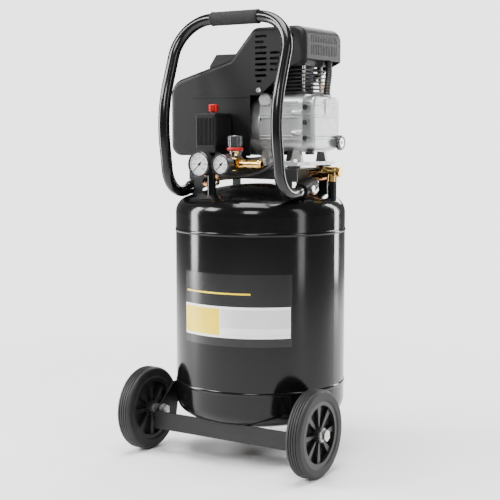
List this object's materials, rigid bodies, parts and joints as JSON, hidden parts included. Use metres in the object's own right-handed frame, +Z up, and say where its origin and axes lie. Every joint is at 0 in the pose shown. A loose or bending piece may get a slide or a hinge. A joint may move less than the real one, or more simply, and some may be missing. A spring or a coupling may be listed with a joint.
{
  "type": "air compressor",
  "caption": "Upright wheeled air compressor with vertical tank, belt-free piston pump under a shroud, gauges, regulator and push handle.",
  "frame": {"origin": "centre of the bounding box's base, on the floor", "axes": "+Z up; -Y is the handle, gauge and wheel side; +X is the crankcase and air outlet side"},
  "size_m": [0.4404, 0.3702, 0.8636],
  "materials": {
    "tank_paint": "gloss black enamel",
    "frame_paint": "satin black powder coat",
    "handle_paint": "gloss black enamel",
    "grip_foam": "matt textured foam",
    "tyre_rubber": "matt",
    "rim_plastic": "moulded black",
    "foot_rubber": "matt",
    "zinc": "zinc plated",
    "black_bolts": "black oxide",
    "pipe_paint": "gloss black",
    "case_cast": "satin casting",
    "black_cast": "black sand casting",
    "piston_alloy": "machined",
    "steel": "ground",
    "core_steel": "laminated",
    "copper_winding": "varnished copper",
    "end_bell_alloy": "casting",
    "fan_plastic": "moulded",
    "capacitor_can": "drawn can",
    "shroud_plastic": "fine textured dark grey",
    "filter_plastic": "moulded",
    "hose_rubber": "semi matt",
    "sight_ring": "moulded",
    "brass": "machined",
    "switch_plastic": "moulded dark grey",
    "red_plastic": "moulded red",
    "gauge_case": "black",
    "needle_paint": "matt black",
    "regulator_metal": "black anodised",
    "knob_plastic": "smoked",
    "copper": "drawn copper",
    "chrome": "plated"
  },
  "bodies": {
    "frame": {"air_filter": "filter_plastic", "axle_bolts": "zinc", "axle_nuts": "zinc", "breather_hose": "hose_rubber", "check_valve": "brass", "coupler_body": "brass", "cover_screws": "black_bolts", "crank_bearings": "steel", "crankcase": "case_cast", "crankcase_cover": "case_cast", "cylinder": "black_cast", "cylinder_head": "black_cast", "discharge_tube": "copper", "drain_valve_body": "brass", "foot_bracket": "frame_paint", "frame_bolts": "zinc", "gauge_large_case": "gauge_case", "gauge_small_case": "gauge_case", "handle_grip": "grip_foam", "handle_sockets": "frame_paint", "handle_tube": "handle_paint", "head_bolts": "zinc", "manifold": "brass", "motor_cradle": "frame_paint", "motor_end_bell": "end_bell_alloy", "motor_lead": "hose_rubber", "motor_stator": "core_steel", "platform": "frame_paint", "pressure_switch_base": "switch_plastic", "pressure_switch_cover": "switch_plastic", "regulator_body": "regulator_metal", "rubber_feet": "foot_rubber", "rubber_mounts": "foot_rubber", "run_capacitor": "capacitor_can", "safety_valve_body": "brass", "shroud": "shroud_plastic", "sight_glass": "sight_ring", "stator_windings": "copper_winding", "tank_bottom_head": "tank_paint", "tank_pipes": "pipe_paint", "tank_shell": "tank_paint", "tank_top_head": "tank_paint", "unloader_tube": "copper", "wheel_bracket": "frame_paint"},
    "left_wheel": {"wheel_rim_left": "rim_plastic", "tyre_left": "tyre_rubber"},
    "right_wheel": {"wheel_rim_right": "rim_plastic", "tyre_right": "tyre_rubber"},
    "crank": {"crankshaft": "steel", "rotor": "core_steel", "cooling_fan": "fan_plastic"},
    "piston_rod": {"piston": "piston_alloy", "connecting_rod": "piston_alloy"},
    "power_button": {"power_knob": "red_plastic"},
    "regulator_dial": {"regulator_knob": "knob_plastic"},
    "coupler_ring": {"coupler_sleeve": "brass"},
    "safety_ring": {"safety_valve_pin": "chrome"},
    "drain_handle": {"drain_lever": "chrome"},
    "large_needle": {"gauge_large_needle": "needle_paint"},
    "small_needle": {"gauge_small_needle": "needle_paint"}
  },
  "joints": [
    {"name": "left_wheel_spin", "type": "hinge", "parent": "frame", "child": "left_wheel", "pos_m": [-0.193, -0.10265, 0.0825], "axis": [1, 0, 0], "continuous": true},
    {"name": "right_wheel_spin", "type": "hinge", "parent": "frame", "child": "right_wheel", "pos_m": [0.193, -0.10265, 0.0825], "axis": [1, 0, 0], "continuous": true},
    {"name": "crank_spin", "type": "hinge", "parent": "frame", "child": "crank", "pos_m": [0, 0.01635, 0.648], "axis": [1, 0, 0], "continuous": true},
    {"name": "piston_slide", "type": "slide", "parent": "frame", "child": "piston_rod", "axis": [0, 0, 1], "range_m": [-0.036, 0]},
    {"name": "power_knob_pull", "type": "slide", "parent": "frame", "child": "power_button", "axis": [0, 0, 1], "range_m": [0, 0.008]},
    {"name": "regulator_knob_turn", "type": "hinge", "parent": "frame", "child": "regulator_dial", "pos_m": [0.014, -0.09565, 0.62], "axis": [0, 0, 1], "range_deg": [-340, 340]},
    {"name": "coupler_sleeve_slide", "type": "slide", "parent": "frame", "child": "coupler_ring", "axis": [1, 0, 0], "range_m": [-0.006, 0], "stiffness_N_per_m": 800, "springref_m": 0.001},
    {"name": "safety_valve_pull", "type": "slide", "parent": "frame", "child": "safety_ring", "axis": [0, 1, 0], "range_m": [0, 0.003], "stiffness_N_per_m": 1500, "springref_m": -0.001},
    {"name": "drain_lever_turn", "type": "hinge", "parent": "frame", "child": "drain_handle", "pos_m": [0, 0.00785, 0.044], "axis": [0, 1, 0], "range_deg": [0, 90]},
    {"name": "gauge_large_sweep", "type": "hinge", "parent": "frame", "child": "large_needle", "pos_m": [-0.041, -0.13465, 0.575], "axis": [0, -1, 0], "range_deg": [-270, 0]},
    {"name": "gauge_small_sweep", "type": "hinge", "parent": "frame", "child": "small_needle", "pos_m": [0.008, -0.13465, 0.575], "axis": [0, -1, 0], "range_deg": [-270, 0]}
  ]
}
